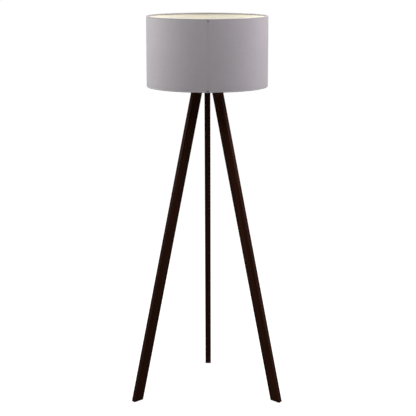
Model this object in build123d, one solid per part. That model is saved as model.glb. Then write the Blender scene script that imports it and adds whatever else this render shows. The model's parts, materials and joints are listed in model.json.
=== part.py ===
from build123d import *
import math
import os

# A tripod floor lamp: three dark timber legs hinged under a steel head, an E27 lampholder on top of
# the head, and a drum shade carried by three arms.  The origin is on the floor, under the lamp's
# axis.  +Z is up and -Y is the front.  Lengths are in millimetres and angles in degrees.

# ---------------------------------------------------------------- driving dimensions
TOTAL_HEIGHT = 1437.0
SHADE_HEIGHT = 260.0
SHADE_RADIUS = 225.0

LEG_AZIMUTHS = {"front_left": 210.0, "front_right": 330.0, "back": 90.0}
SPLAY = 12.6
FOOT_RADIUS = 303.5
LEG_WIDTH = 36.0
LEG_THICKNESS = 22.0
LEG_EDGE_ROUND = 1.5
PIVOT_RADIUS = 30.0

# The sawn foot rises towards the lamp's axis, and a small glide carries it clear of the floor.
FOOT_CUT = 8.0
FOOT_CLEARANCE = 1.2
GLIDE_RADIUS = 7.0
GLIDE_INSET = 9.0
NAIL_RADIUS = 1.2
NAIL_LENGTH = 16.0
GLIDE_BEVEL = 1.6
GLIDE_EDGE = 0.6

# Leg hinge: a bush in the leg turns on an M6 bolt between the ears of a folded steel fork.
LEG_TOP_RISE = 23.7
BUSH_RADIUS = 4.5
BUSH_BORE = 3.05
BOLT_RADIUS = 3.0
FRICTION_WASHER = 1.0
FRICTION_GAP = 0.15
FRICTION_WASHER_RADIUS = 9.0
FORK_WIDTH = 26.0
FORK_SHEET = 3.0
FORK_WEB_HEIGHT = 24.0
FORK_BEND = 2.5
BOLT_WASHER = 1.2
BOLT_WASHER_RADIUS = 6.0
BOLT_HEAD_RADIUS = 5.5
BOLT_HEAD_HEIGHT = 3.3
BOLT_HEAD_ROUND = 2.0
HEX_KEY = 4.0
HEX_DEPTH = 2.2
NUT_ACROSS_FLATS = 10.0
NUT_HEIGHT = 5.5
NUT_DOME_RADIUS = 4.6
RIVET_RADIUS = 2.5
RIVET_HEAD_RADIUS = 4.6
RIVET_HEAD_HEIGHT = 1.8
RIVET_SPREAD = 8.0

# Head plate and the hollow nipple that the cord comes down through.
PLATE_RADIUS = 52.0
PLATE_THICKNESS = 4.0
PLATE_CHAMFER = 0.8
NIPPLE_RADIUS = 5.0
NIPPLE_BORE = 3.9
NIPPLE_ABOVE = 10.0
NIPPLE_BELOW = 18.0
NIPPLE_WASHER_RADIUS = 12.0
NIPPLE_WASHER = 1.5
NIPPLE_NUT = 4.5
NIPPLE_NUT_ACROSS_FLATS = 15.0
CORD_BORE = 3.5
GLAND_BORE_LENGTH = 12.0
GLAND_RADIUS = 8.5
GLAND_TAPER = 2.5
GLAND_SCREW_DROP = 4.0
GLAND_SCREW_RADIUS = 1.5

# Lampholder and its two shade rings.
HOLDER_RADIUS = 19.6
HOLDER_HEIGHT = 62.0
HOLDER_WALL = 2.4
HOLDER_SPIGOT = 17.1
HOLDER_MOUTH = 15.6
HOLDER_SPLIT = 24.0
INSERT_TOP = 27.0
TERMINAL_HEIGHT = 13.3
TERMINAL_OUT = 8.0
TERMINAL_SCREW_RADIUS = 1.3
SLOT_WIDTH = 0.7
THREAD_PITCH = 2.5
THREAD_DEPTH = 0.6
RUNNING_CLEARANCE = 0.06
LOWER_RING = (31.5, 36.0)
FITTER_RING = (36.2, 38.2)
UPPER_RING = (38.4, 43.4)
SHADE_RING_RADIUS = 27.0
SHADE_RING_NOTCHES = 24
SHADE_RING_NOTCH = 1.1
FITTER_BORE = 20.7
FITTER_RADIUS = 30.0

# Bulb, measured up from its contact tip.
BULB_TIP = 31.0
BULB_LENGTH = 108.0
BULB_RADIUS = 30.0
BULB_WALL = 1.2
HOUSING_WALL = 1.5
LED_BOARD_RADIUS = 24.6
LED_BOARD = 1.6
LED_CIRCLE = 15.0
LED_COUNT = 8
LED_SIZE = (3.5, 2.8, 0.7)
CAP_RADIUS = 13.2
CAP_PITCH = 3.6
CAP_THREAD_DEPTH = 0.6

# Shade: fabric over a stiff liner, hemmed round a wire ring at each end.
FABRIC = 0.6
LINER = 0.6
HEM_HEIGHT = 4.6
HEM_DEPTH = 4.6
HEM_TAIL = 1.4
HEM_CORNER = 1.2
HEM_SLACK = 0.05
RING_WIRE = 1.6
SEAM_WIDTH = 12.0
SEAM_PROUD = 0.4
ARM_WIRE = 2.0
ARM_AZIMUTHS = (30.0, 150.0, 270.0)
WELD = 0.5

# ---------------------------------------------------------------- derived places
SIN = math.sin(math.radians(SPLAY))
COS = math.cos(math.radians(SPLAY))
PIVOT_Z = (FOOT_RADIUS - PIVOT_RADIUS) * COS / SIN
EAR_INNER = LEG_THICKNESS / 2 + FRICTION_GAP + FRICTION_WASHER
EAR_OUTER = EAR_INNER + FORK_SHEET
WEB_BOTTOM = PIVOT_Z + FORK_WEB_HEIGHT
PLATE_BOTTOM = WEB_BOTTOM + FORK_SHEET
PLATE_TOP = PLATE_BOTTOM + PLATE_THICKNESS
SHADE_BOTTOM = TOTAL_HEIGHT - SHADE_HEIGHT
WALL_BOTTOM = SHADE_BOTTOM + HEM_HEIGHT
WALL_TOP = TOTAL_HEIGHT - HEM_HEIGHT
RING_CENTRE_RADIUS = SHADE_RADIUS - HEM_DEPTH / 2
TOP_RING_Z = TOTAL_HEIGHT - HEM_HEIGHT / 2
BOTTOM_RING_Z = SHADE_BOTTOM + HEM_HEIGHT / 2
FITTER_MIDDLE = PLATE_TOP + sum(FITTER_RING) / 2


# ---------------------------------------------------------------- helpers
def tube(outer, inner, bottom, top):
    """A plain tube about the lamp's axis."""
    middle = (bottom + top) / 2
    height = top - bottom
    return Pos(0, 0, middle) * (Cylinder(outer, height) - Cylinder(inner, height))


def turned(points, lift=0.0):
    """A solid turned about the lamp's axis from an outline of (radius, height) points."""
    outline = make_face(Polyline(*points, close=True))
    return Pos(0, 0, lift) * revolve(Plane.XZ * outline, Axis.Z)


def across(radius, start, end):
    """A round bar along the hinge line of a leg that lies in the XZ plane."""
    middle = (start + end) / 2
    return Pos(PIVOT_RADIUS, middle, PIVOT_Z) * Rot(90, 0, 0) * Cylinder(radius, end - start)


def across_hex(across_flats, start, end):
    """A hexagonal bar along the same hinge line."""
    section = RegularPolygon(across_flats / 2, 6, major_radius=False)
    bar = extrude(section, amount=end - start)
    return Pos(PIVOT_RADIUS, end, PIVOT_Z) * Rot(90, 0, 0) * bar


def around(solid, azimuths):
    """Copies of a solid turned from the XZ plane to each azimuth."""
    return [Rot(0, 0, azimuth) * solid for azimuth in azimuths]


def around_all(solids, azimuths):
    """Copies of several solids, each turned to every azimuth."""
    return [copy for solid in solids for copy in around(solid, azimuths)]


def thread_outline(radius, depth, pitch, start, end):
    """Points up the outside of a threaded length, as even ridges."""
    points = []
    turns = int((end - start) / pitch)
    for turn in range(turns):
        height = start + turn * pitch
        points += [(radius - depth, height), (radius, height + pitch / 2)]
    points.append((radius - depth, start + turns * pitch))
    return points


def notched_ring(outer, inner, bottom, top):
    """A ring with finger notches round its rim."""
    ring = tube(outer, inner, bottom, top)
    height = top - bottom
    notch = Cylinder(SHADE_RING_NOTCH, 2 * height)
    step = 360.0 / SHADE_RING_NOTCHES
    for index in range(SHADE_RING_NOTCHES):
        place = Rot(0, 0, index * step) * Pos(outer + SHADE_RING_NOTCH / 3, 0, (bottom + top) / 2)
        ring -= place * notch
    return ring


# ---------------------------------------------------------------- legs
def on_leg(along, out):
    """A (radius, height) point given by its distance up the leg from the pivot and out of it."""
    radius = PIVOT_RADIUS - along * SIN + out * COS
    height = PIVOT_Z + along * COS + out * SIN
    return (radius, height)


def foot_points():
    """The outer and inner corners of the sawn foot."""
    half = LEG_WIDTH / 2
    rise = math.tan(math.radians(FOOT_CUT))
    outer_along = (FOOT_CLEARANCE - PIVOT_Z - half * SIN) / COS
    outer = on_leg(outer_along, half)
    lift = FOOT_CLEARANCE - PIVOT_Z + half * SIN
    lift += (outer[0] - PIVOT_RADIUS + half * COS) * rise
    inner = on_leg(lift / (COS - SIN * rise), -half)
    return outer, inner


def glide_place():
    """Radius of the glide's middle and the height of the sawn face there."""
    outer, inner = foot_points()
    radius = outer[0] - GLIDE_INSET
    height = outer[1] + GLIDE_INSET * math.tan(math.radians(FOOT_CUT))
    return radius, height


def nail_hole():
    radius, height = glide_place()
    return Pos(radius, 0, height + NAIL_LENGTH / 2) * Cylinder(NAIL_RADIUS, NAIL_LENGTH)


def leg():
    """A board whose top is level over its outer half, which is the splay stop, and round inside."""
    half = LEG_WIDTH / 2
    outer_foot, inner_foot = foot_points()
    top_outer = on_leg((LEG_TOP_RISE - half * SIN) / COS, half)
    top_middle = (PIVOT_RADIUS, PIVOT_Z + LEG_TOP_RISE)
    top_inner = on_leg(math.sqrt(LEG_TOP_RISE**2 - half**2), -half)
    turn = math.radians(112.0)
    on_arc = (
        PIVOT_RADIUS + LEG_TOP_RISE * math.cos(turn),
        PIVOT_Z + LEG_TOP_RISE * math.sin(turn),
    )
    outline = Polyline(top_inner, inner_foot, outer_foot, top_outer, top_middle)
    outline += ThreePointArc(top_middle, on_arc, top_inner)
    board = extrude(Plane.XZ * make_face(outline), amount=LEG_THICKNESS / 2, both=True)
    long_edges = [edge for edge in board.edges() if edge.length > PIVOT_Z / 2]
    board = fillet(long_edges, LEG_EDGE_ROUND)
    board -= across(BUSH_RADIUS, -LEG_THICKNESS, LEG_THICKNESS)
    return board - nail_hole()


def bush():
    half = LEG_THICKNESS / 2
    return across(BUSH_RADIUS, -half, half) - across(BUSH_BORE, -half, half)


def glide():
    """A bevelled plastic button with its nail, cut to lie flat on the sawn foot."""
    radius, height = glide_place()
    slope = math.tan(math.radians(FOOT_CUT))
    reach = GLIDE_RADIUS
    section = make_face(
        Polyline(
            (radius - reach, GLIDE_EDGE),
            (radius - reach + GLIDE_BEVEL, 0.0),
            (radius + reach - GLIDE_BEVEL, 0.0),
            (radius + reach, GLIDE_EDGE),
            (radius + reach, height - reach * slope),
            (radius - reach, height + reach * slope),
            close=True,
        )
    )
    button = extrude(Plane.XZ * section, amount=reach, both=True)
    button &= Pos(radius, 0, 0) * Cylinder(reach, 4 * reach)
    return button + nail_hole()


# ---------------------------------------------------------------- head
def fork():
    """A folded sheet fork: two round-ended ears and the web that is riveted to the plate."""
    half = FORK_WIDTH / 2
    ear = Pos(PIVOT_RADIUS, 0, (PIVOT_Z + PLATE_BOTTOM) / 2)
    ear *= Box(FORK_WIDTH, 2 * EAR_OUTER, PLATE_BOTTOM - PIVOT_Z)
    bends = ear.edges().filter_by(Axis.X).group_by(Axis.Z)[-1]
    body = fillet(bends, FORK_BEND)
    body += across(half, -EAR_OUTER, EAR_OUTER)
    gap_height = 2 * half + FORK_WEB_HEIGHT
    gap = Pos(PIVOT_RADIUS, 0, WEB_BOTTOM - gap_height / 2)
    body -= gap * Box(2 * FORK_WIDTH, 2 * EAR_INNER, gap_height)
    body -= across(BOLT_RADIUS, -2 * EAR_OUTER, 2 * EAR_OUTER)
    for radius in rivet_radii():
        body -= Pos(radius, 0, PLATE_BOTTOM) * Cylinder(RIVET_RADIUS, 4 * FORK_SHEET)
    return body


def rivet_radii():
    return (PIVOT_RADIUS - RIVET_SPREAD, PIVOT_RADIUS + RIVET_SPREAD)


def head_plate():
    plate = Pos(0, 0, PLATE_BOTTOM + PLATE_THICKNESS / 2)
    plate *= Cylinder(PLATE_RADIUS, PLATE_THICKNESS)
    plate = chamfer(plate.edges(), PLATE_CHAMFER)
    plate -= Pos(0, 0, PLATE_BOTTOM) * Cylinder(NIPPLE_RADIUS, 4 * PLATE_THICKNESS)
    for radius in rivet_radii():
        hole = Pos(radius, 0, PLATE_BOTTOM) * Cylinder(RIVET_RADIUS, 4 * PLATE_THICKNESS)
        for copy in around(hole, LEG_AZIMUTHS.values()):
            plate -= copy
    return plate


def rivet(radius):
    """Flush under the web and domed on top of the plate."""
    shank_height = PLATE_TOP - WEB_BOTTOM
    shank = Pos(radius, 0, WEB_BOTTOM + shank_height / 2) * Cylinder(RIVET_RADIUS, shank_height)
    ball_radius = (RIVET_HEAD_RADIUS**2 + RIVET_HEAD_HEIGHT**2) / (2 * RIVET_HEAD_HEIGHT)
    ball = Pos(radius, 0, PLATE_TOP + RIVET_HEAD_HEIGHT - ball_radius) * Sphere(ball_radius)
    side = 4 * ball_radius
    above = Pos(radius, 0, PLATE_TOP + side / 2) * Box(side, side, side)
    return shank + (ball & above)


def bolt():
    start = -EAR_OUTER - BOLT_WASHER
    end = EAR_OUTER + BOLT_WASHER + NUT_HEIGHT
    shank = across(BOLT_RADIUS, start, end)
    head = across(BOLT_HEAD_RADIUS, start - BOLT_HEAD_HEIGHT, start)
    rim = head.edges().group_by(Axis.Y)[0]
    head = fillet(rim, BOLT_HEAD_ROUND)
    head_end = start - BOLT_HEAD_HEIGHT
    return shank + head - across_hex(HEX_KEY, head_end - HEX_DEPTH, head_end + HEX_DEPTH)


def cap_nut():
    start = EAR_OUTER + BOLT_WASHER
    nut = across_hex(NUT_ACROSS_FLATS, start, start + NUT_HEIGHT)
    dome = Pos(PIVOT_RADIUS, start + NUT_HEIGHT, PIVOT_Z) * Sphere(NUT_DOME_RADIUS)
    half = Pos(PIVOT_RADIUS, start + NUT_HEIGHT + NUT_DOME_RADIUS, PIVOT_Z)
    half *= Box(4 * NUT_DOME_RADIUS, 2 * NUT_DOME_RADIUS, 4 * NUT_DOME_RADIUS)
    return nut + (dome & half) - across(BOLT_RADIUS, start, start + NUT_HEIGHT)


def bolt_washers():
    washers = []
    for start in (EAR_OUTER, -EAR_OUTER - BOLT_WASHER):
        end = start + BOLT_WASHER
        washers.append(across(BOLT_WASHER_RADIUS, start, end) - across(BOLT_RADIUS, start, end))
    return washers


def friction_washers():
    washers = []
    for start in (EAR_INNER - FRICTION_WASHER, -EAR_INNER):
        end = start + FRICTION_WASHER
        disc = across(FRICTION_WASHER_RADIUS, start, end)
        washers.append(disc - across(BOLT_RADIUS, start, end))
    return washers


def nipple():
    return tube(NIPPLE_RADIUS, NIPPLE_BORE, PLATE_BOTTOM - NIPPLE_BELOW, PLATE_TOP + NIPPLE_ABOVE)


def nipple_washer():
    return tube(NIPPLE_WASHER_RADIUS, NIPPLE_RADIUS, PLATE_BOTTOM - NIPPLE_WASHER, PLATE_BOTTOM)


def nipple_nut():
    top = PLATE_BOTTOM - NIPPLE_WASHER
    section = RegularPolygon(NIPPLE_NUT_ACROSS_FLATS / 2, 6, major_radius=False)
    section -= Circle(NIPPLE_RADIUS)
    return Pos(0, 0, top - NIPPLE_NUT) * extrude(section, amount=NIPPLE_NUT)


def cord_gland():
    """The cord grip that is screwed on the nipple's lower end."""
    top = PLATE_BOTTOM - NIPPLE_WASHER - NIPPLE_NUT
    shoulder = PLATE_BOTTOM - NIPPLE_BELOW
    bottom = shoulder - GLAND_BORE_LENGTH
    points = [
        (NIPPLE_RADIUS, top - 0.5),
        (GLAND_RADIUS, top - 0.5),
        (GLAND_RADIUS, shoulder - 2.0),
        (GLAND_RADIUS - GLAND_TAPER, bottom + 1.0),
        (GLAND_RADIUS - GLAND_TAPER - 1.0, bottom),
        (CORD_BORE, bottom),
        (CORD_BORE, shoulder),
        (NIPPLE_RADIUS, shoulder),
    ]
    screw_hole = Pos(GLAND_RADIUS, 0, shoulder - GLAND_SCREW_DROP) * Rot(0, 90, 0)
    screw_hole *= Cylinder(GLAND_SCREW_RADIUS, GLAND_RADIUS)
    return turned(points) - Rot(0, 0, 270) * screw_hole


def gland_screw():
    """The nylon screw that pinches the cord."""
    height = PLATE_BOTTOM - NIPPLE_BELOW - GLAND_SCREW_DROP
    screw = Pos(GLAND_RADIUS - 1.2, 0, height) * Rot(0, 90, 0) * Cylinder(GLAND_SCREW_RADIUS, 5.2)
    head = Pos(GLAND_RADIUS + 2.2, 0, height) * Rot(0, 90, 0) * Cylinder(2.6, 1.8)
    slot = Pos(GLAND_RADIUS + 3.1, 0, height) * Box(1.4, SLOT_WIDTH, 6.0)
    return Rot(0, 0, 270) * (screw + head - slot)


# ---------------------------------------------------------------- lampholder
def holder_cap():
    radius = HOLDER_RADIUS
    points = [
        (NIPPLE_RADIUS, 0.0),
        (11.5, 0.0),
        (12.0, 3.0),
        (radius, 13.0),
        (radius, HOLDER_SPLIT),
        (radius - HOLDER_WALL, HOLDER_SPLIT),
        (radius - HOLDER_WALL, 14.5),
        (11.0, 6.5),
        (9.0, 6.5),
        (9.0, NIPPLE_ABOVE),
        (NIPPLE_RADIUS, NIPPLE_ABOVE),
    ]
    return turned(points, PLATE_TOP)


def holder_sleeve():
    """The skirt, threaded outside for the shade rings, with a spigot that enters the cap."""
    radius = HOLDER_RADIUS
    mouth = HOLDER_MOUTH
    seat = HOLDER_SPLIT + 0.1
    points = [(mouth, 20.0), (HOLDER_SPIGOT, 20.0), (HOLDER_SPIGOT, seat), (radius, seat)]
    points += [(radius, 29.5)]
    points += thread_outline(radius, THREAD_DEPTH, THREAD_PITCH, 30.0, 57.5)
    points += [(radius, HOLDER_HEIGHT - 4.0), (radius, HOLDER_HEIGHT - 1.0)]
    points += [(radius - 1.0, HOLDER_HEIGHT), (mouth + 0.8, HOLDER_HEIGHT)]
    points += [(mouth, HOLDER_HEIGHT - 0.8)]
    return turned(points, PLATE_TOP)


def holder_insert():
    """The ceramic disc that holds the terminals, stepped to sit under the sleeve."""
    rim = HOLDER_RADIUS - HOLDER_WALL - 0.2
    core = HOLDER_MOUTH - 0.2
    top = INSERT_TOP
    points = [(rim, 16.0), (rim, 19.8), (core, 19.8), (core, top), (0.0, top), (0.0, 16.0)]
    return turned(points, PLATE_TOP)


def on_terminal(side, out):
    """A place on the axis of a terminal screw, facing out from the lamp's axis."""
    return Pos(side * (TERMINAL_OUT + out), 0, PLATE_TOP + TERMINAL_HEIGHT) * Rot(0, 90, 0)


def terminal_blocks():
    blocks = []
    for side in (-1, 1):
        block = on_terminal(side, 0.0) * Box(5.4, 6.0, 4.4)
        blocks.append(block - on_terminal(side, 1.4) * Cylinder(TERMINAL_SCREW_RADIUS, 3.0))
    return blocks


def terminal_screws():
    screws = []
    for side in (-1, 1):
        shank = on_terminal(side, 1.1) * Cylinder(TERMINAL_SCREW_RADIUS, 2.4)
        head = on_terminal(side, 2.9) * Cylinder(2.2, 1.2)
        slot = on_terminal(side, 3.4) * Box(6.0, SLOT_WIDTH, 0.8)
        screws.append(shank + head - slot)
    return screws


def centre_contact():
    """A sprung brass tongue under the bulb's tip."""
    low = INSERT_TOP
    high = BULB_TIP - 0.4
    sheet = 0.5
    outline = Polyline(
        (-8.0, low),
        (-3.0, low),
        (-0.5, high - sheet),
        (3.0, high - sheet),
        (3.0, high),
        (-0.7, high),
        (-3.2, low + sheet),
        (-8.0, low + sheet),
        close=True,
    )
    strip = extrude(Plane.XZ * make_face(outline), amount=2.5, both=True)
    return Pos(0, 0, PLATE_TOP) * strip


def screw_shell():
    """The brass cup that the bulb's cap screws into, resting on the ceramic."""
    low = INSERT_TOP
    points = [(9.0, low), (14.2, low), (14.2, 52.0), (13.6, 52.0), (13.6, low + 0.6), (9.0, low + 0.6)]
    return turned(points, PLATE_TOP)


def lifted(span):
    return PLATE_TOP + span[0], PLATE_TOP + span[1]


def lower_shade_ring():
    bottom, top = lifted(LOWER_RING)
    return notched_ring(SHADE_RING_RADIUS, HOLDER_RADIUS, bottom, top)


def upper_shade_ring():
    bottom, top = lifted(UPPER_RING)
    return notched_ring(SHADE_RING_RADIUS, HOLDER_RADIUS + RUNNING_CLEARANCE, bottom, top)


# ---------------------------------------------------------------- bulb
def bulb_contact():
    return turned([(0.0, 0.0), (3.0, 0.0), (4.5, 0.9), (4.5, 2.0), (0.0, 2.0)], PLATE_TOP + BULB_TIP)


def bulb_insulator():
    points = [(0.0, 2.0), (6.0, 2.0), (12.0, 5.0), (12.0, 6.5), (0.0, 6.5)]
    return turned(points, PLATE_TOP + BULB_TIP)


def bulb_cap():
    """The screw cap, with even ridges for its thread."""
    points = [(12.0, 5.0)]
    points += thread_outline(CAP_RADIUS, CAP_THREAD_DEPTH, CAP_PITCH, 5.6, 23.6)
    points += [(CAP_RADIUS, 25.0), (CAP_RADIUS, 27.0), (11.4, 27.0), (11.4, 6.5), (12.0, 6.5)]
    return turned(points, PLATE_TOP + BULB_TIP)


def bulb_outline():
    """The outside of the bulb's housing as (radius, height) points on a smooth flare."""
    return [(13.6, 27.0), (14.4, 30.0), (18.6, 43.0), (24.0, 56.0), (27.0, 65.0)]


def bulb_housing():
    outer = bulb_outline()
    inner = [(radius - HOUSING_WALL, height) for radius, height in outer]
    side = Spline(*outer)
    side += Line(outer[-1], inner[-1])
    side += Spline(*reversed(inner))
    side += Line(inner[0], outer[0])
    shell = revolve(Plane.XZ * make_face(side), Axis.Z)
    return Pos(0, 0, PLATE_TOP + BULB_TIP) * shell


def bulb_globe():
    centre = PLATE_TOP + BULB_TIP + BULB_LENGTH - BULB_RADIUS
    rim = PLATE_TOP + BULB_TIP + bulb_outline()[-1][1]
    globe = Sphere(BULB_RADIUS) - Sphere(BULB_RADIUS - BULB_WALL)
    keep = Box(4 * BULB_RADIUS, 4 * BULB_RADIUS, 4 * BULB_RADIUS)
    return (Pos(0, 0, centre) * globe) & (Pos(0, 0, rim + 2 * BULB_RADIUS) * keep)


def bulb_led_board():
    """The disc that carries the light sources, with its ring of chips."""
    top = PLATE_TOP + BULB_TIP + bulb_outline()[-1][1] - 1.0
    board = Pos(0, 0, top - LED_BOARD / 2) * Cylinder(LED_BOARD_RADIUS, LED_BOARD)
    for index in range(LED_COUNT):
        turn = Rot(0, 0, index * 360.0 / LED_COUNT)
        board += turn * Pos(LED_CIRCLE, 0, top + LED_SIZE[2] / 2) * Box(*LED_SIZE)
    return board


# ---------------------------------------------------------------- shade
def shade_fabric():
    return tube(SHADE_RADIUS, SHADE_RADIUS - FABRIC, WALL_BOTTOM, WALL_TOP)


def shade_liner():
    outer = SHADE_RADIUS - FABRIC
    return tube(outer, outer - LINER, WALL_BOTTOM, WALL_TOP)


def shade_ring(height):
    return Pos(0, 0, height) * Torus(RING_CENTRE_RADIUS, RING_WIRE)


def hem(height, towards_middle):
    """Fabric rolled round a wire ring, with its raw edge glued down inside the liner."""
    roll = Rectangle(HEM_DEPTH, HEM_HEIGHT)
    roll = chamfer(roll.vertices(), HEM_CORNER)
    roll -= RegularPolygon(RING_WIRE + HEM_SLACK, 8, major_radius=False, rotation=22.5)
    roll = Pos(RING_CENTRE_RADIUS, height) * roll
    inside = SHADE_RADIUS - FABRIC - LINER
    tail_middle = height + towards_middle * (HEM_HEIGHT + HEM_TAIL) / 2
    overlap = 0.5
    tail = Pos(inside - FABRIC / 2, tail_middle - towards_middle * overlap / 2)
    tail *= Rectangle(FABRIC, HEM_TAIL + overlap)
    return revolve(Plane.XZ * (roll + tail), Axis.Z)


def arm():
    """One arm in the XZ plane, welded to the bottom ring and to the fitter ring."""
    low = Vector(RING_CENTRE_RADIUS, 0, BOTTOM_RING_Z)
    high = Vector(FITTER_RADIUS - 1.0, 0, FITTER_MIDDLE)
    way = (high - low).normalized()
    start = low + way * (RING_WIRE - WELD)
    length = (high - start).length
    return Plane(origin=start, z_dir=way) * Pos(0, 0, length / 2) * Cylinder(ARM_WIRE, length)


def bottom_hem():
    """The lower hem, notched where the arms leave the ring."""
    solid = hem(BOTTOM_RING_Z, 1)
    low = Vector(RING_CENTRE_RADIUS, 0, BOTTOM_RING_Z)
    way = (Vector(FITTER_RADIUS, 0, FITTER_MIDDLE) - low).normalized()
    notch = Plane(origin=low + way * 10, z_dir=way) * Cylinder(ARM_WIRE + 0.2, 20)
    for copy in around(notch, ARM_AZIMUTHS):
        solid -= copy
    return solid


def fitter_ring():
    bottom, top = lifted(FITTER_RING)
    return tube(FITTER_RADIUS, FITTER_BORE, bottom, top)


def shade_seam():
    """The lapped end of the fabric, down the front."""
    band = tube(SHADE_RADIUS + SEAM_PROUD, SHADE_RADIUS, WALL_BOTTOM, WALL_TOP)
    front = Pos(0, -SHADE_RADIUS, (WALL_BOTTOM + WALL_TOP) / 2)
    return band & front * Box(SEAM_WIDTH, 20, SHADE_HEIGHT)


# ---------------------------------------------------------------- nodes
def all_nodes():
    nodes = {}
    azimuths = list(LEG_AZIMUTHS.values())
    board = leg()
    fork_solid = fork()
    for name, azimuth in LEG_AZIMUTHS.items():
        turn = Rot(0, 0, azimuth)
        nodes["leg_" + name] = [turn * board]
        nodes["bush_" + name] = [turn * bush()]
        nodes["glide_" + name] = [turn * glide()]
        nodes["fork_" + name] = [turn * fork_solid]
    nodes["head_plate"] = [head_plate()]
    nodes["rivets"] = around_all([rivet(radius) for radius in rivet_radii()], azimuths)
    nodes["leg_bolts"] = around(bolt(), azimuths)
    nodes["cap_nuts"] = around(cap_nut(), azimuths)
    nodes["bolt_washers"] = around_all(bolt_washers(), azimuths)
    nodes["friction_washers"] = around_all(friction_washers(), azimuths)
    nodes["nipple"] = [nipple()]
    nodes["nipple_washer"] = [nipple_washer()]
    nodes["nipple_nut"] = [nipple_nut()]
    nodes["cord_gland"] = [cord_gland()]
    nodes["gland_screw"] = [gland_screw()]
    nodes["holder_cap"] = [holder_cap()]
    nodes["holder_sleeve"] = [holder_sleeve()]
    nodes["holder_insert"] = [holder_insert()]
    nodes["terminal_blocks"] = terminal_blocks()
    nodes["terminal_screws"] = terminal_screws()
    nodes["centre_contact"] = [centre_contact()]
    nodes["screw_shell"] = [screw_shell()]
    nodes["lower_shade_ring"] = [lower_shade_ring()]
    nodes["upper_shade_ring"] = [upper_shade_ring()]
    nodes["bulb_contact"] = [bulb_contact()]
    nodes["bulb_insulator"] = [bulb_insulator()]
    nodes["bulb_cap"] = [bulb_cap()]
    nodes["bulb_housing"] = [bulb_housing()]
    nodes["bulb_globe"] = [bulb_globe()]
    nodes["bulb_led_board"] = [bulb_led_board()]
    nodes["shade_fabric"] = [shade_fabric()]
    nodes["shade_liner"] = [shade_liner()]
    nodes["shade_seam"] = [shade_seam()]
    nodes["top_ring"] = [shade_ring(TOP_RING_Z)]
    nodes["bottom_ring"] = [shade_ring(BOTTOM_RING_Z)]
    nodes["top_hem"] = [hem(TOP_RING_Z, -1)]
    nodes["bottom_hem"] = [bottom_hem()]
    nodes["shade_arms"] = around(arm(), ARM_AZIMUTHS)
    nodes["fitter_ring"] = [fitter_ring()]
    return nodes


os.makedirs("parts", exist_ok=True)
for node, pieces in all_nodes().items():
    solids = [solid for piece in pieces for solid in piece.solids()]
    shape = solids[0] if len(solids) == 1 else Compound(children=solids)
    export_step(shape, f"parts/{node}.step")
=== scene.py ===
"""Looks of the tripod floor lamp: the cloth of the shade, its trims and every material, built
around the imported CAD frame.  Lengths are in metres and angles in radians unless a name says
otherwise.  +Z is up and -Y is the front."""

import json
import math
import random

import bmesh
import bpy
from mathutils import Euler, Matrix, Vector, noise


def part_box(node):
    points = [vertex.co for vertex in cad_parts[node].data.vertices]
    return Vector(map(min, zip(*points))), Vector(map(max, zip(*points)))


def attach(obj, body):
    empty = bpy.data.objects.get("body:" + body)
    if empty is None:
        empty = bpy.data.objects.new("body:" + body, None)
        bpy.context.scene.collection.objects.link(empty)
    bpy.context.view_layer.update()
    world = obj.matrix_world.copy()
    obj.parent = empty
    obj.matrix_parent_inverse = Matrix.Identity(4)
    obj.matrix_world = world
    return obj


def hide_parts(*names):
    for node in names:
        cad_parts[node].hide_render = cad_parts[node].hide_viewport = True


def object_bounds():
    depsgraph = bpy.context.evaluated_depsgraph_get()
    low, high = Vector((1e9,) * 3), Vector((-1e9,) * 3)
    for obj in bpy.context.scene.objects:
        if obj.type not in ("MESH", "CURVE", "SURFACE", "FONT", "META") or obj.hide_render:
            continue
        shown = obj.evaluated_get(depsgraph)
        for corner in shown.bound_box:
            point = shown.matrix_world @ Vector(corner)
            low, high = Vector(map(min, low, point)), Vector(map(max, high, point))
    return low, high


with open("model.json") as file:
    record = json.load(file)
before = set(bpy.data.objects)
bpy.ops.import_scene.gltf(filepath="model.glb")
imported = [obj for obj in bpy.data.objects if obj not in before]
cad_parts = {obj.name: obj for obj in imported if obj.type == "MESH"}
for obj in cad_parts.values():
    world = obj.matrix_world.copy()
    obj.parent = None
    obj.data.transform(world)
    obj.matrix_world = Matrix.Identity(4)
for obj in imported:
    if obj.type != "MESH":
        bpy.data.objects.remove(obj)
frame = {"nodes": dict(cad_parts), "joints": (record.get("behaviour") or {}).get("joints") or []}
cad_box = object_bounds()
NODES = frame["nodes"]
JOINTS = {joint["name"]: joint for joint in frame["joints"]}
random.seed(7)

MM = 0.001
FRONT = math.radians(270.0)

# ---------------------------------------------------------------- places read from the frame
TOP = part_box("top_hem")[1].z
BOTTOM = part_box("bottom_hem")[0].z
LINER_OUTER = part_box("shade_liner")[1].x
LINER_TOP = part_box("shade_liner")[1].z
LINER_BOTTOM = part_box("shade_liner")[0].z
WIRE = (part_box("top_ring")[1].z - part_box("top_ring")[0].z) / 2
RING_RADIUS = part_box("top_ring")[1].x - WIRE
FITTER_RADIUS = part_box("fitter_ring")[1].x
FITTER_Z = (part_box("fitter_ring")[0].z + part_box("fitter_ring")[1].z) / 2
BOTTOM_RING_Z = (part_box("bottom_ring")[0].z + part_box("bottom_ring")[1].z) / 2
# each leg's stain brightness: partly the boards' own difference, partly painted light that makes a leg
# lighter or darker as it is lit
LEG_STAIN_AND_LIGHT_TONES = {"front_left": 0.85, "front_right": 1.12, "back": 1.08}
ARM_AZIMUTHS = [math.radians(degrees) for degrees in (30.0, 150.0, 270.0)]


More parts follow.
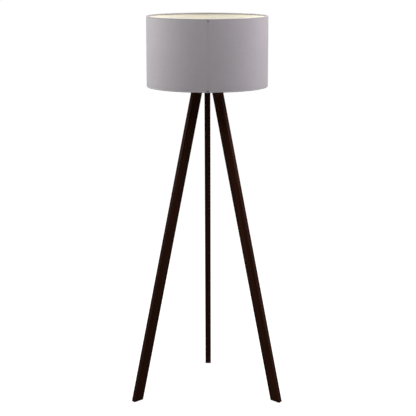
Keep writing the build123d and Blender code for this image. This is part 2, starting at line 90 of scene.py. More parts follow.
# ---------------------------------------------------------------- node material helpers
class Paint:
    """A material made of nodes around one Principled shader."""

    def __init__(self, name, roughness=0.5, metallic=0.0, **constants):
        self.material = bpy.data.materials.new(name)
        self.material.use_nodes = True
        self.tree = self.material.node_tree
        self.shader = self.tree.nodes["Principled BSDF"]
        self.shader.inputs["Roughness"].default_value = roughness
        self.shader.inputs["Metallic"].default_value = metallic
        for socket, value in constants.items():
            self.shader.inputs[socket.replace("_", " ")].default_value = value
        self.place = self.node("ShaderNodeTexCoord").outputs["Object"]

    def node(self, kind, **settings):
        made = self.tree.nodes.new(kind)
        for key, value in settings.items():
            setattr(made, key, value)
        return made

    def link(self, source, target):
        self.tree.links.new(source, target)

    def mapped(self, vector=None, scale=(1, 1, 1), rotation=(0, 0, 0), location=(0, 0, 0)):
        """The vector scaled, then rotated, then moved."""
        made = self.node("ShaderNodeMapping")
        made.inputs["Scale"].default_value = scale
        made.inputs["Rotation"].default_value = rotation
        made.inputs["Location"].default_value = location
        self.link(vector or self.place, made.inputs["Vector"])
        return made.outputs["Vector"]

    def noise(self, scale, detail=2.0, roughness=0.5, vector=None, distortion=0.0):
        made = self.node("ShaderNodeTexNoise")
        made.inputs["Scale"].default_value = scale
        made.inputs["Detail"].default_value = detail
        made.inputs["Roughness"].default_value = roughness
        made.inputs["Distortion"].default_value = distortion
        self.link(vector or self.place, made.inputs["Vector"])
        return made.outputs["Fac"]

    def cells(self, scale):
        made = self.node("ShaderNodeTexVoronoi")
        made.inputs["Scale"].default_value = scale
        self.link(self.place, made.inputs["Vector"])
        return made.outputs["Distance"]

    def math(self, operation, first, second=0.0):
        made = self.node("ShaderNodeMath", operation=operation)
        for index, value in enumerate((first, second)):
            if isinstance(value, (int, float)):
                made.inputs[index].default_value = value
            else:
                self.link(value, made.inputs[index])
        return made.outputs["Value"]

    def ramp(self, factor, *stops):
        """Colours at places from 0 to 1, each stop a (place, colour) pair."""
        made = self.node("ShaderNodeValToRGB")
        ramp = made.color_ramp
        while len(ramp.elements) < len(stops):
            ramp.elements.new(0.5)
        for element, (place, colour) in zip(ramp.elements, stops):
            element.position = place
            element.color = (*colour, 1.0)
        self.link(factor, made.inputs["Fac"])
        return made.outputs["Color"]

    def span(self, factor, low, high, from_low=0.0, from_high=1.0):
        """The factor stretched from its own span to low..high."""
        made = self.node("ShaderNodeMapRange")
        made.inputs["From Min"].default_value = from_low
        made.inputs["From Max"].default_value = from_high
        made.inputs["To Min"].default_value = low
        made.inputs["To Max"].default_value = high
        self.link(factor, made.inputs["Value"])
        return made.outputs["Result"]

    def mix(self, factor, first, second, blend="MIX"):
        made = self.node("ShaderNodeMix", data_type="RGBA", blend_type=blend)
        for socket, value in ((0, factor), (6, first), (7, second)):
            if isinstance(value, float):
                made.inputs[socket].default_value = value
            elif isinstance(value, tuple):
                made.inputs[socket].default_value = (*value, 1.0)
            else:
                self.link(value, made.inputs[socket])
        return made.outputs[2]

    def edges(self, radius):
        """1 on convex edges and corners, 0 on flat faces."""
        bevel = self.node("ShaderNodeBevel", samples=4)
        bevel.inputs["Radius"].default_value = radius
        flat = self.node("ShaderNodeNewGeometry")
        dot = self.node("ShaderNodeVectorMath", operation="DOT_PRODUCT")
        self.link(bevel.outputs["Normal"], dot.inputs[0])
        self.link(flat.outputs["Normal"], dot.inputs[1])
        return self.span(dot.outputs["Value"], 1.0, 0.0, 0.75, 0.99)

    def colour(self, source):
        self.link(source, self.shader.inputs["Base Color"])

    def rough(self, source):
        self.link(source, self.shader.inputs["Roughness"])

    def bump(self, *layers):
        """Bump nodes in a chain, each layer a (height, depth in metres, strength) triple."""
        normal = None
        for height, depth, strength in layers:
            made = self.node("ShaderNodeBump")
            made.inputs["Strength"].default_value = strength
            made.inputs["Distance"].default_value = depth
            self.link(height, made.inputs["Height"])
            if normal is not None:
                self.link(normal, made.inputs["Normal"])
            normal = made.outputs["Normal"]
        self.link(normal, self.shader.inputs["Normal"])


def tinted(colour, factor):
    return tuple(channel * factor for channel in colour)


# ---------------------------------------------------------------- materials
def cloth_material():
    """Plain-woven grey cotton cloth, with painted shade in the hollows between its threads.  Its UV map
    holds lengths along the cloth in metres.
    """
    paint = Paint("shade_cloth", roughness=0.9, Sheen_Weight=0.06, Sheen_Roughness=0.5)
    paint.shader.inputs["Specular IOR Level"].default_value = 0.15
    flat = paint.node("ShaderNodeUVMap", uv_map="cloth").outputs["UV"]
    threads_per_metre = 1700.0
    turn = math.pi * threads_per_metre
    parts = paint.node("ShaderNodeSeparateXYZ")
    paint.link(flat, parts.inputs["Vector"])
    warp = paint.math("SINE", paint.math("MULTIPLY", parts.outputs["X"], turn))
    weft = paint.math("SINE", paint.math("MULTIPLY", parts.outputs["Y"], turn))
    over = paint.math("MULTIPLY", warp, weft)
    warp_round = paint.math("ABSOLUTE", warp)
    weft_round = paint.math("ABSOLUTE", weft)
    lift = paint.span(over, 0.0, 1.0, -0.5, 0.5)
    weave = paint.mix(lift, warp_round, weft_round)
    slub_warp = paint.noise(1.0, 3.0, 0.6, paint.mapped(flat, scale=(900.0, 22.0, 1.0)))
    slub_weft = paint.noise(1.0, 3.0, 0.6, paint.mapped(flat, scale=(22.0, 900.0, 1.0)))
    slub = paint.math("ADD", slub_warp, slub_weft)
    cloud = paint.noise(7.0, 3.0, 0.55)
    base = paint.ramp(
        paint.span(slub, 0.0, 1.0, 0.7, 1.3),
        (0.0, (0.400, 0.376, 0.396)),
        (0.5, (0.425, 0.399, 0.421)),
        (1.0, (0.452, 0.426, 0.449)),
    )
    # painted shade: the colour is darkened where the weave dips between the threads
    weave_gap_shade = paint.span(weave, 0.86, 1.0, 0.0, 0.6)
    shaded = paint.mix(1.0, base, paint.span(cloud, 0.975, 1.02, 0.3, 0.7), "MULTIPLY")
    paint.colour(paint.mix(1.0, shaded, weave_gap_shade, "MULTIPLY"))
    paint.rough(paint.span(slub, 0.84, 0.95, 0.7, 1.3))
    paint.bump((slub, 0.00012, 0.35), (weave, 0.00018, 0.45))
    return paint.material


def liner_material():
    """Cream plastic film, matt, with a fine emboss and a slow unevenness from rolling."""
    paint = Paint("liner_film", roughness=0.5, Coat_Weight=0.08, Coat_Roughness=0.4)
    cloud = paint.noise(5.0, 3.0, 0.5)
    base = paint.ramp(cloud, (0.3, (0.79, 0.755, 0.63)), (0.7, (0.82, 0.79, 0.67)))
    dust = paint.noise(240.0, 4.0, 0.6)
    paint.colour(paint.mix(paint.span(dust, 0.0, 0.35, 0.62, 0.8), base, (0.70, 0.665, 0.56)))
    paint.rough(paint.span(paint.noise(60.0), 0.42, 0.58, 0.3, 0.7))
    wave = paint.noise(1.0, 2.0, 0.5, paint.mapped(scale=(14.0, 14.0, 3.0)))
    paint.bump((wave, 0.0012, 0.25), (paint.noise(1500.0, 2.0), 0.00006, 0.3))
    return paint.material


def wood_material(name, azimuth, splay, seed, stain_and_light_tone):
    """Dark espresso stain under matt oil, with the grain along one leg.  The stain is scaled by a tone
    that is partly the board's own and partly painted light.
    """
    paint = Paint("leg_wood_" + name, roughness=0.66)
    paint.shader.inputs["Specular IOR Level"].default_value = 0.035
    turned = paint.mapped(rotation=(0, 0, -azimuth))
    along = paint.mapped(turned, rotation=(0, splay, 0), location=(seed * 0.37, seed * 0.21, seed))
    streaks = paint.noise(1.0, 5.0, 0.62, paint.mapped(along, scale=(160.0, 160.0, 3.2)), 0.4)
    fine = paint.noise(1.0, 3.0, 0.6, paint.mapped(along, scale=(900.0, 900.0, 14.0)))
    wander = paint.noise(1.0, 2.0, 0.5, paint.mapped(along, scale=(9.0, 9.0, 1.1)))
    pith = paint.node("ShaderNodeVectorMath", operation="LENGTH")
    paint.link(paint.mapped(along, scale=(1, 1, 0), location=(0.05, 0.035, 0)), pith.inputs[0])
    rings = paint.math("MULTIPLY", pith.outputs["Value"], 1500.0)
    rings = paint.math("SINE", paint.math("ADD", rings, paint.math("MULTIPLY", wander, 26.0)))
    figure = paint.math("ADD", streaks, paint.math("MULTIPLY", rings, 0.07))
    # stain colours scaled by the leg's tone, which is partly painted light
    stain = paint.ramp(
        figure,
        (0.25, tinted((0.0145, 0.0042, 0.0020), stain_and_light_tone)),
        (0.50, tinted((0.0255, 0.0080, 0.0040), stain_and_light_tone)),
        (0.75, tinted((0.0390, 0.0132, 0.0069), stain_and_light_tone)),
    )
    pores = paint.span(fine, 0.0, 1.0, 0.60, 0.72)
    dark = paint.mix(pores, stain, (0.006, 0.0018, 0.0008))
    rubbed = paint.math("MULTIPLY", paint.edges(0.0012), paint.span(streaks, 0.0, 0.8, 0.4, 0.7))
    paint.colour(paint.mix(rubbed, dark, (0.040, 0.0150, 0.0075)))
    paint.rough(paint.span(streaks, 0.60, 0.74, 0.3, 0.7))
    paint.bump((streaks, 0.00025, 0.3), (paint.math("SUBTRACT", 1.0, pores), 0.00012, 0.35))
    return paint.material


def powder_coat(name, base, scuffed, roughness):
    """Powder-coated steel: orange-peel texture, with the coat thinner along the edges."""
    paint = Paint(name, roughness=roughness)
    peel = paint.noise(700.0, 2.0, 0.5)
    cloud = paint.noise(40.0, 4.0, 0.6)
    body = paint.mix(paint.span(cloud, 0.0, 1.0, 0.3, 0.7), tinted(base, 0.86), tinted(base, 1.12))
    worn = paint.math("MULTIPLY", paint.edges(0.0007), paint.span(cloud, 0.0, 1.0, 0.45, 0.7))
    paint.colour(paint.mix(worn, body, scuffed))
    paint.rough(paint.span(cloud, roughness - 0.07, roughness + 0.08, 0.3, 0.7))
    paint.bump((peel, 0.00012, 0.35))
    return paint.material


def metal(name, base, dull, roughness, brushed=(1.0, 1.0, 1.0)):
    """Bare or plated metal with tool marks, dull patches and bright edges."""
    paint = Paint(name, roughness=roughness, metallic=1.0)
    patches = paint.noise(90.0, 4.0, 0.6)
    lines = paint.noise(900.0, 3.0, 0.6, paint.mapped(scale=brushed))
    body = paint.mix(paint.span(patches, 0.0, 1.0, 0.35, 0.7), base, dull)
    paint.colour(paint.mix(paint.edges(0.0005), body, tinted(base, 1.15)))
    paint.rough(paint.span(lines, roughness - 0.08, roughness + 0.12, 0.3, 0.7))
    paint.bump((lines, 0.00004, 0.25))
    return paint.material


def moulded(name, base, roughness, spark=0.25):
    """Moulded plastic with a spark-eroded texture and a faint flow mottling."""
    paint = Paint(name, roughness=roughness)
    flow = paint.noise(35.0, 3.0, 0.55, distortion=0.8)
    texture = paint.cells(1100.0)
    body = paint.mix(paint.span(flow, 0.0, 1.0, 0.35, 0.65), tinted(base, 0.9), tinted(base, 1.08))
    paint.colour(paint.mix(paint.edges(0.0004), body, tinted(base, 1.35)))
    paint.rough(paint.span(flow, roughness - 0.06, roughness + 0.08, 0.35, 0.65))
    paint.bump((texture, 0.00005, spark))
    return paint.material


def ceramic_material():
    """Unglazed steatite: off-white, with fine specks."""
    paint = Paint("steatite", roughness=0.75)
    specks = paint.span(paint.noise(1600.0, 2.0), 0.0, 1.0, 0.68, 0.74)
    cloud = paint.ramp(
        paint.noise(50.0, 3.0),
        (0.3, (0.70, 0.67, 0.60)),
        (0.7, (0.79, 0.76, 0.69)),
    )
    paint.colour(paint.mix(specks, cloud, (0.42, 0.38, 0.32)))
    paint.rough(paint.span(paint.noise(220.0), 0.68, 0.84, 0.3, 0.7))
    paint.bump((paint.noise(900.0, 3.0), 0.00006, 0.4))
    return paint.material


def opal_material():
    """The bulb's opal plastic: white, softly glossy, faintly uneven inside."""
    paint = Paint("bulb_opal", roughness=0.32, Coat_Weight=0.15, Coat_Roughness=0.2)
    cloud = paint.noise(60.0, 3.0, 0.5)
    paint.colour(paint.ramp(cloud, (0.3, (0.86, 0.86, 0.84)), (0.7, (0.90, 0.90, 0.885))))
    paint.rough(paint.span(cloud, 0.27, 0.38, 0.3, 0.7))
    paint.bump((paint.noise(500.0, 2.0), 0.00003, 0.2))
    return paint.material


def board_material():
    """White solder mask on the aluminium disc under the light sources."""
    paint = Paint("led_board", roughness=0.4)
    chips = paint.cells(420.0)
    paint.colour(paint.ramp(chips, (0.1, (0.86, 0.86, 0.83)), (0.5, (0.78, 0.78, 0.75))))
    paint.rough(paint.span(paint.noise(300.0), 0.33, 0.5, 0.3, 0.7))
    paint.bump((chips, 0.00004, 0.3))
    return paint.material


def thread_material():
    """Dark sewing thread with its twist."""
    paint = Paint("tack_thread", roughness=0.8, Sheen_Weight=0.2)
    twist = paint.noise(1.0, 2.0, 0.5, paint.mapped(scale=(2500.0, 2500.0, 5200.0)))
    paint.colour(paint.ramp(twist, (0.3, (0.016, 0.015, 0.016)), (0.7, (0.045, 0.042, 0.045))))
    paint.rough(paint.span(twist, 0.7, 0.9, 0.3, 0.7))
    paint.bump((twist, 0.00008, 0.5))
    return paint.material


# ---------------------------------------------------------------- mesh helpers
def new_piece(name, mesh_data, body, material):
    piece = bpy.data.objects.new(name, mesh_data)
    bpy.context.scene.collection.objects.link(piece)
    piece.data.materials.append(material)
    for polygon in piece.data.polygons:
        polygon.use_smooth = True
    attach(piece, body)
    return piece


def mesh_from(name, build):
    """A mesh filled by build(bmesh)."""
    bm = bmesh.new()
    build(bm)
    data = bpy.data.meshes.new(name)
    bm.normal_update()
    bm.to_mesh(data)
    bm.free()
    return data


def apply_modifiers(piece):
    """The piece's own mesh, with its modifiers worked into it."""
    depsgraph = bpy.context.evaluated_depsgraph_get()
    done = bpy.data.meshes.new_from_object(piece.evaluated_get(depsgraph))
    piece.modifiers.clear()
    piece.data = done


def ease(value):
    value = min(1.0, max(0.0, value))
    return value * value * (3 - 2 * value)


# ---------------------------------------------------------------- the shade's cloth
CLOTH = 0.5 * MM
WALL_RADIUS = LINER_OUTER + CLOTH / 2
WALL_MARGIN = 2.0 * MM

# the hem round each wire ring, and the crease between it and the wall
BEAD = 2.3 * MM
BEAD_DROP = BEAD + CLOTH / 2
BEAD_START = math.radians(-38.0)
TUCK_ANGLE = math.radians(250.0)
CREASE = 0.45 * MM
CREASE_SHOULDER = 0.12 * MM
CREASE_PAST = 0.3 * MM
CREASE_SHORT = 0.7 * MM

# the lap at the front: its width, and how far its raw edge lies past the middle
LAP_WIDTH = 12.0 * MM
LAP_EDGE = 5.5 * MM
LAP_LIFT = CLOTH + 0.05 * MM
LAP_RAMP = math.radians(0.9)

# the cloth's unevenness on the wall and on the hems
WALL_FADE = 20.0 * MM
SWAY = 0.22 * MM
SWAY_REST = 0.06 * MM
RIPPLE = 0.10 * MM


def bead_points(centre_z, upward):
    """The cloth's middle round a wire ring, from the outside wall to its tucked edge."""
    steps = 30
    points = []
    for step in range(steps + 1):
        angle = BEAD_START + (TUCK_ANGLE - BEAD_START) * step / steps
        outward = BEAD * math.cos(angle)
        rise = BEAD * math.sin(angle)
        points.append((RING_RADIUS + outward, centre_z + upward * rise))
    return points


def cloth_profile():
    """(radius, height) points along the cloth, from its tucked lower edge to its upper one."""
    low_bead = bead_points(BOTTOM + BEAD_DROP, -1)
    high_bead = bead_points(TOP - BEAD_DROP, 1)
    deep = WALL_RADIUS - CREASE
    shallow = WALL_RADIUS - CREASE_SHOULDER
    low_crease = [(deep, LINER_BOTTOM - CREASE_PAST), (shallow, LINER_BOTTOM + CREASE_SHORT)]
    high_crease = [(shallow, LINER_TOP - CREASE_SHORT), (deep, LINER_TOP + CREASE_PAST)]
    wall = []
    rows = 26
    low_z = LINER_BOTTOM + WALL_MARGIN
    high_z = LINER_TOP - WALL_MARGIN
    for row in range(rows + 1):
        wall.append((WALL_RADIUS, low_z + (high_z - low_z) * row / rows))
    return list(reversed(low_bead)) + low_crease + wall + high_crease + high_bead


def profile_normals(points):
    """Unit normals on the outer side of the profile."""
    normals = []
    for index in range(len(points)):
        before = points[max(0, index - 1)]
        after = points[min(len(points) - 1, index + 1)]
        along = Vector((after[0] - before[0], after[1] - before[1])).normalized()
        normals.append(Vector((along.y, -along.x)))
    return normals


def cloth_angles():
    """Angles round the shade, closer together where the cloth laps over itself."""
    start = FRONT - (LAP_WIDTH - LAP_EDGE) / WALL_RADIUS
    end = FRONT + 2 * math.pi + LAP_EDGE / WALL_RADIUS
    fine = math.radians(0.25)
    coarse = math.radians(1.5)
    near = math.radians(3.6)
    angles = [start]
    while angles[-1] < end - fine / 2:
        close = angles[-1] - start < near or end - angles[-1] < near + coarse
        angles.append(min(end, angles[-1] + (fine if close else coarse)))
    return angles


def build_cloth(bm):
    points = cloth_profile()
    normals = profile_normals(points)
    lengths = [0.0]
    for before, after in zip(points, points[1:]):
        lengths.append(lengths[-1] + math.dist(before, after))
    angles = cloth_angles()
    start = angles[0]
    uv_layer = bm.loops.layers.uv.new("cloth")
    grid = []
    for angle in angles:
        out = Vector((math.cos(angle), math.sin(angle), 0.0))
        lift = LAP_LIFT * ease((angle - start - 2 * math.pi + LAP_RAMP) / LAP_RAMP)
        column = []
        for (radius, height), normal in zip(points, normals):
            wall_share = ease((height - BOTTOM) / WALL_FADE) * ease((TOP - height) / WALL_FADE)
            sway = noise.noise(Vector((out.x * 2.2, out.y * 2.2, height * 5.0)))
            ripple = noise.noise(out * 16.0 + Vector((0, 0, height * 30.0)))
            move = wall_share * max(0.0, SWAY * sway + SWAY_REST)
            move += (1 - wall_share) * RIPPLE * ripple
            r = radius + normal.x * (lift + move)
            z = height + normal.y * lift
            column.append(bm.verts.new((out.x * r, out.y * r, z)))
        grid.append(column)
    for i in range(len(angles) - 1):
        for j in range(len(points) - 1):
            face = bm.faces.new((grid[i][j], grid[i + 1][j], grid[i + 1][j + 1], grid[i][j + 1]))
            corners = ((i, j), (i + 1, j), (i + 1, j + 1), (i, j + 1))
            for loop, (a, b) in zip(face.loops, corners):
                loop[uv_layer].uv = ((angles[a] - start) * WALL_RADIUS, lengths[b])


def make_cloth():
    data = mesh_from("shade_cloth", build_cloth)
    cloth = new_piece("shade_cloth", data, "shade", cloth_material())
    solid = cloth.modifiers.new("thickness", "SOLIDIFY")
    solid.thickness = CLOTH
    solid.offset = 0.0
    solid.use_even_offset = True
    apply_modifiers(cloth)
    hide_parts("shade_fabric", "shade_seam", "top_hem", "bottom_hem")
    return cloth


# ---------------------------------------------------------------- trims of the shade
TACK_BELOW_TOP = 7.4 * MM
TACK_ABOVE_BOTTOM = 5.4 * MM
STITCHES = 10
STITCH_SPACING = 0.46 * MM
STITCH_HALF = 1.9 * MM
STITCH_UNEVEN = 0.25 * MM
STITCH_SKEW = 0.12 * MM
STITCH_BOW = 0.6 * MM
STITCH_CLEARANCE = 0.1 * MM
THREAD_RADIUS = 0.26 * MM
THREAD_TIP = 0.55


def strand(bm, start, end, bulge, radius, rings=10, sides=8):
    """A thread from start to end, bowed along the vector bulge, with its ends sunk in."""
    along = (end - start).normalized()
    side = bulge.normalized()
    up = along.cross(side)
    previous = None
    for step in range(rings + 1):
        share = step / rings
        arch = math.sin(math.pi * share)
        centre = start.lerp(end, share) + bulge * arch
        thin = radius * (THREAD_TIP + (1 - THREAD_TIP) * arch)
        ring = []
        for k in range(sides):
            turn = 2 * math.pi * k / sides
            ring.append(bm.verts.new(centre + (side * math.cos(turn) + up * math.sin(turn)) * thin))
        if previous:
            for k in range(sides):
                n = (k + 1) % sides
                bm.faces.new((previous[k], previous[n], ring[n], ring[k]))
        else:
            bm.faces.new(list(reversed(ring)))
        previous = ring
    bm.faces.new(previous)


def build_tack(height):
    """Stitches over the raw edge of the lap, one beside the other."""
    def build(bm):
        angle = FRONT + LAP_EDGE / WALL_RADIUS
        out = Vector((math.cos(angle), math.sin(angle), 0.0))
        side = Vector((-out.y, out.x, 0.0))
        face = WALL_RADIUS + CLOTH / 2 + STITCH_CLEARANCE
        for index in range(STITCHES):
            rise = (index - (STITCHES - 1) / 2) * STITCH_SPACING
            centre = out * face + Vector((0, 0, height + rise))
            half = STITCH_HALF + STITCH_UNEVEN * random.uniform(-1, 1)
            skew = Vector((0, 0, random.uniform(-STITCH_SKEW, STITCH_SKEW)))
            on_lap = centre - side * half - skew + out * LAP_LIFT
            on_wall = centre + side * half + skew
            strand(bm, on_lap, on_wall, out * STITCH_BOW, THREAD_RADIUS)
    return build


def make_tacks():
    """One tack at each end of the seam, just inside the hems."""
    thread = thread_material()
    heights = {
        "seam_tack_top": TOP - TACK_BELOW_TOP,
        "seam_tack_bottom": BOTTOM + TACK_ABOVE_BOTTOM,
    }
    for name, height in heights.items():
        data = mesh_from(name, build_tack(height))
        new_piece(name, data, "shade", thread)


LINER_FILM = 0.6 * MM
LINER_LAP_HALF = 8.0 * MM
LINER_LAP_DEPTH = 0.35 * MM
LINER_LAP_FILM = 0.3 * MM
LINER_LAP_GAP = 0.01 * MM
LINER_LAP_MARGIN = 0.2 * MM


def build_liner_lap(bm):
    """The film's own lap inside the front of the shade, with eased edges."""
    inner = LINER_OUTER - LINER_FILM
    half = LINER_LAP_HALF / inner
    columns, rows = 24, 40
    low_z = LINER_BOTTOM + LINER_LAP_MARGIN
    high_z = LINER_TOP - LINER_LAP_MARGIN
    grid = []
    for i in range(columns + 1):
        share = i / columns
        angle = FRONT - half + 2 * half * share
        eased = min(1.0, 6.0 * min(share, 1 - share))
        r = inner - LINER_LAP_DEPTH * eased - LINER_LAP_GAP
        column = []
        for j in range(rows + 1):
            z = low_z + (high_z - low_z) * j / rows
            column.append(bm.verts.new((math.cos(angle) * r, math.sin(angle) * r, z)))
        grid.append(column)
    for i in range(columns):
        for j in range(rows):
            bm.faces.new((grid[i][j], grid[i][j + 1], grid[i + 1][j + 1], grid[i + 1][j]))


def make_liner_lap(material):
    data = mesh_from("liner_lap", build_liner_lap)
    lap = new_piece("liner_lap", data, "shade", material)
    solid = lap.modifiers.new("thickness", "SOLIDIFY")
    solid.thickness = LINER_LAP_FILM
    solid.offset = 1.0
    apply_modifiers(lap)


WELD_UNEVEN = 0.5
WELD_WIDTH_SHARE = 0.8
FITTER_EDGE = 1.0 * MM
LOW_WELD_INSET, LOW_WELD_RADIUS, LOW_WELD_SIZE = 2.2 * MM, 1.7 * MM, 0.75 * MM
HIGH_WELD_INSET, HIGH_WELD_RADIUS, HIGH_WELD_SIZE = 1.6 * MM, 1.8 * MM, 0.8 * MM


def weld_bead(bm, centre, axis, radius, size):
    """A ring of weld metal round a joint, uneven like a real bead."""
    axis = axis.normalized()
    side = axis.orthogonal().normalized()
    up = axis.cross(side)
    segments, tube = 28, 10
    rings = []
    for i in range(segments):
        turn = 2 * math.pi * i / segments
        out = side * math.cos(turn) + up * math.sin(turn)
        swell = size * (1 + WELD_UNEVEN * noise.noise(out * 3.0 + centre * 90.0))
        ring = []
        for k in range(tube):
            around = 2 * math.pi * k / tube
            outward = radius + swell * WELD_WIDTH_SHARE * math.cos(around)
            lengthwise = swell * math.sin(around)
            ring.append(bm.verts.new(centre + out * outward + axis * lengthwise))
        rings.append(ring)
    for i in range(segments):
        following = rings[(i + 1) % segments]
        for k in range(tube):
            n = (k + 1) % tube
            bm.faces.new((rings[i][k], following[k], following[n], rings[i][n]))


def build_welds(bm):
    """Beads where each arm meets the bottom ring and the fitter ring."""
    for azimuth in ARM_AZIMUTHS:
        out = Vector((math.cos(azimuth), math.sin(azimuth), 0.0))
        low = out * RING_RADIUS + Vector((0, 0, BOTTOM_RING_Z))
        high = out * (FITTER_RADIUS - FITTER_EDGE) + Vector((0, 0, FITTER_Z))
        way = (high - low).normalized()
        weld_bead(bm, low + way * LOW_WELD_INSET, way, LOW_WELD_RADIUS, LOW_WELD_SIZE)
        weld_bead(bm, high - way * HIGH_WELD_INSET, way, HIGH_WELD_RADIUS, HIGH_WELD_SIZE)


# ---------------------------------------------------------------- put the looks on
def paint_nodes(material, *names):
    for name in names:
        data = NODES[name].data
        data.materials.clear()
        data.materials.append(material)


liner = liner_material()
white_wire = powder_coat("white_wire", (0.74, 0.74, 0.72), (0.50, 0.50, 0.49), 0.38)
cloth = make_cloth()
make_tacks()
make_liner_lap(liner)
new_piece("arm_welds", mesh_from("arm_welds", build_welds), "shade", white_wire)

for number, (leg_name, stain_and_light_tone) in enumerate(LEG_STAIN_AND_LIGHT_TONES.items(), start=1):
    low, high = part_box("glide_" + leg_name)
    middle = (low + high) / 2
    azimuth = math.atan2(middle.y, middle.x)
    splay = math.radians(JOINTS["leg_" + leg_name + "_fold"]["range_deg"][1])
    wood = wood_material(leg_name, azimuth, splay, float(number), stain_and_light_tone)
    paint_nodes(wood, "leg_" + leg_name)

black_steel = powder_coat("black_steel", (0.018, 0.018, 0.019), (0.09, 0.09, 0.09), 0.42)
zinc = metal("zinc_steel", (0.62, 0.63, 0.65), (0.46, 0.47, 0.48), 0.34)
brass = metal("brass", (0.66, 0.49, 0.22), (0.50, 0.36, 0.16), 0.36)
aluminium = metal("bulb_metal", (0.78, 0.78, 0.77), (0.62, 0.62, 0.62), 0.3, (1.0, 1.0, 6.0))
nylon = moulded("nylon", (0.72, 0.69, 0.60), 0.5)
phenolic = moulded("black_plastic", (0.020, 0.020, 0.021), 0.36)
glide_plastic = moulded("glide_plastic", (0.015, 0.014, 0.013), 0.5)
housing_white = moulded("bulb_white", (0.80, 0.80, 0.785), 0.34)
glass_black = moulded("bulb_black", (0.018, 0.018, 0.020), 0.12, spark=0.1)

paint_nodes(liner, "shade_liner")
paint_nodes(white_wire, "top_ring", "bottom_ring", "shade_arms", "fitter_ring")
paint_nodes(black_steel, "head_plate", *["fork_" + leg_name for leg_name in LEG_STAIN_AND_LIGHT_TONES])
paint_nodes(zinc, "rivets", "leg_bolts", "cap_nuts", "bolt_washers", "nipple_washer", "nipple_nut")
paint_nodes(brass, "nipple", "centre_contact", "screw_shell", "terminal_blocks", "terminal_screws")
paint_nodes(brass, *["bush_" + leg_name for leg_name in LEG_STAIN_AND_LIGHT_TONES])
paint_nodes(nylon, "friction_washers", "gland_screw")
paint_nodes(phenolic, "cord_gland", "holder_cap", "holder_sleeve", "lower_shade_ring", "upper_shade_ring")
paint_nodes(glide_plastic, *["glide_" + leg_name for leg_name in LEG_STAIN_AND_LIGHT_TONES])
paint_nodes(ceramic_material(), "holder_insert")
paint_nodes(opal_material(), "bulb_globe")
paint_nodes(housing_white, "bulb_housing")
paint_nodes(aluminium, "bulb_cap", "bulb_contact")
paint_nodes(glass_black, "bulb_insulator")
paint_nodes(board_material(), "bulb_led_board")


# ---------------------------------------------------------------- studio
def light_path_mix(tree, seen, unseen):
    """seen for the camera's own rays and unseen for all others."""
    path = tree.nodes.new("ShaderNodeLightPath")
    mix = tree.nodes.new("ShaderNodeMixShader")
    tree.links.new(path.outputs["Is Camera Ray"], mix.inputs["Fac"])
    tree.links.new(unseen, mix.inputs[1])
    tree.links.new(seen, mix.inputs[2])
    return mix.outputs["Shader"]


FILL_STRENGTH = 0.30
FILL_COLOUR = (1.0, 0.98, 1.0, 1.0)
FLOOR_DROP = 0.2 * MM
FLOOR_HALF = 60.0
FLOOR_GREY = 0.22
FLOOR_GLOW = 0.95
LIGHT_TARGET = Vector((0.0, 0.0, 1.2))
SOFTBOX_SIZE = 1.6


def make_world():
    """White behind the object, and a dim even fill on it."""
    world = bpy.data.worlds.new("studio")
    bpy.context.scene.world = world
    world.use_nodes = True
    tree = world.node_tree
    shown = tree.nodes["Background"]
    shown.inputs["Color"].default_value = (1.0, 1.0, 1.0, 1.0)
    fill = tree.nodes.new("ShaderNodeBackground")
    fill.inputs["Color"].default_value = FILL_COLOUR
    fill.inputs["Strength"].default_value = FILL_STRENGTH
    output = tree.nodes["World Output"]
    mixed = light_path_mix(tree, shown.outputs["Background"], fill.outputs["Background"])
    tree.links.new(mixed, output.inputs["Surface"])


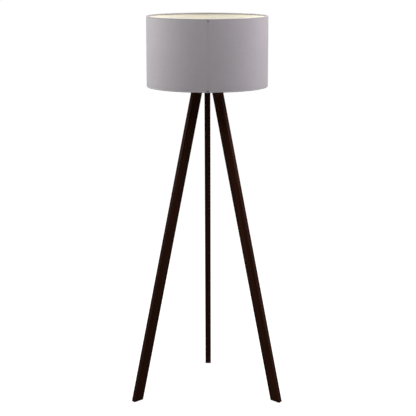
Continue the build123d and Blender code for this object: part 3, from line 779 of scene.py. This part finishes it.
def make_floor():
    """A wide pale floor that shows faint contact shadows, and can't be seen from below."""
    def build(bm):
        bmesh.ops.create_grid(bm, x_segments=8, y_segments=8, size=FLOOR_HALF)
    data = mesh_from("studio_floor", build)
    floor = bpy.data.objects.new("studio_floor", data)
    bpy.context.scene.collection.objects.link(floor)
    floor.location.z = cad_box[0].z - FLOOR_DROP
    material = bpy.data.materials.new("studio_floor")
    material.use_nodes = True
    tree = material.node_tree
    tree.nodes.remove(tree.nodes["Principled BSDF"])
    output = tree.nodes["Material Output"]
    pale = tree.nodes.new("ShaderNodeBsdfDiffuse")
    pale.inputs["Color"].default_value = (FLOOR_GREY, FLOOR_GREY, FLOOR_GREY, 1.0)
    glow = tree.nodes.new("ShaderNodeEmission")
    glow.inputs["Strength"].default_value = FLOOR_GLOW
    lit = tree.nodes.new("ShaderNodeAddShader")
    tree.links.new(pale.outputs["BSDF"], lit.inputs[0])
    tree.links.new(glow.outputs["Emission"], lit.inputs[1])
    shade = light_path_mix(tree, lit.outputs["Shader"], pale.outputs["BSDF"])
    clear = tree.nodes.new("ShaderNodeBsdfTransparent")
    side = tree.nodes.new("ShaderNodeNewGeometry")
    both = tree.nodes.new("ShaderNodeMixShader")
    tree.links.new(side.outputs["Backfacing"], both.inputs["Fac"])
    tree.links.new(shade, both.inputs[1])
    tree.links.new(clear.outputs["BSDF"], both.inputs[2])
    tree.links.new(both.outputs["Shader"], output.inputs["Surface"])
    data.materials.append(material)


def softbox(name, place, power, colour):
    """A square soft light that looks at the lamp's upper half."""
    data = bpy.data.lights.new(name, "AREA")
    data.shape = "SQUARE"
    data.size = SOFTBOX_SIZE
    data.energy = power
    data.color = colour
    lamp = bpy.data.objects.new(name, data)
    bpy.context.scene.collection.objects.link(lamp)
    lamp.location = place
    lamp.rotation_mode = "QUATERNION"
    lamp.rotation_quaternion = (LIGHT_TARGET - Vector(place)).to_track_quat("-Z", "Y")
    lamp.visible_camera = False


def make_lights():
    """High soft lights at both sides, with weaker ones behind them."""
    softbox("left_softbox", (-1.73, -0.63, 2.74), 50.3, (1.0, 1.01, 0.99))
    softbox("right_softbox", (1.73, -0.63, 2.74), 51.5, (1.0, 0.985, 1.01))
    softbox("left_rim_softbox", (-2.05, 0.96, 2.26), 27.0, (1.0, 1.02, 1.0))
    softbox("right_rim_softbox", (2.05, 0.96, 2.26), 25.0, (1.0, 0.98, 1.02))
    softbox("back_softbox", (0.0, 1.38, 3.17), 10.0, (1.0, 1.0, 1.0))


CAMERA_PLACE = (0.0597, -4.7795, 1.6887)
CAMERA_PITCH = math.radians(11.514)
CAMERA_YAW = math.radians(0.682)
CAMERA_LENS_MM = 111.47


def make_camera():
    """At eye height, looking slightly down."""
    data = bpy.data.cameras.new("camera")
    data.lens = CAMERA_LENS_MM
    camera = bpy.data.objects.new("camera", data)
    bpy.context.scene.collection.objects.link(camera)
    camera.location = CAMERA_PLACE
    camera.rotation_euler = Euler((math.pi / 2 - CAMERA_PITCH, 0.0, CAMERA_YAW))
    bpy.context.scene.camera = camera


bpy.context.scene.view_settings.view_transform = "Standard"
make_world()
make_floor()
make_lights()
make_camera()
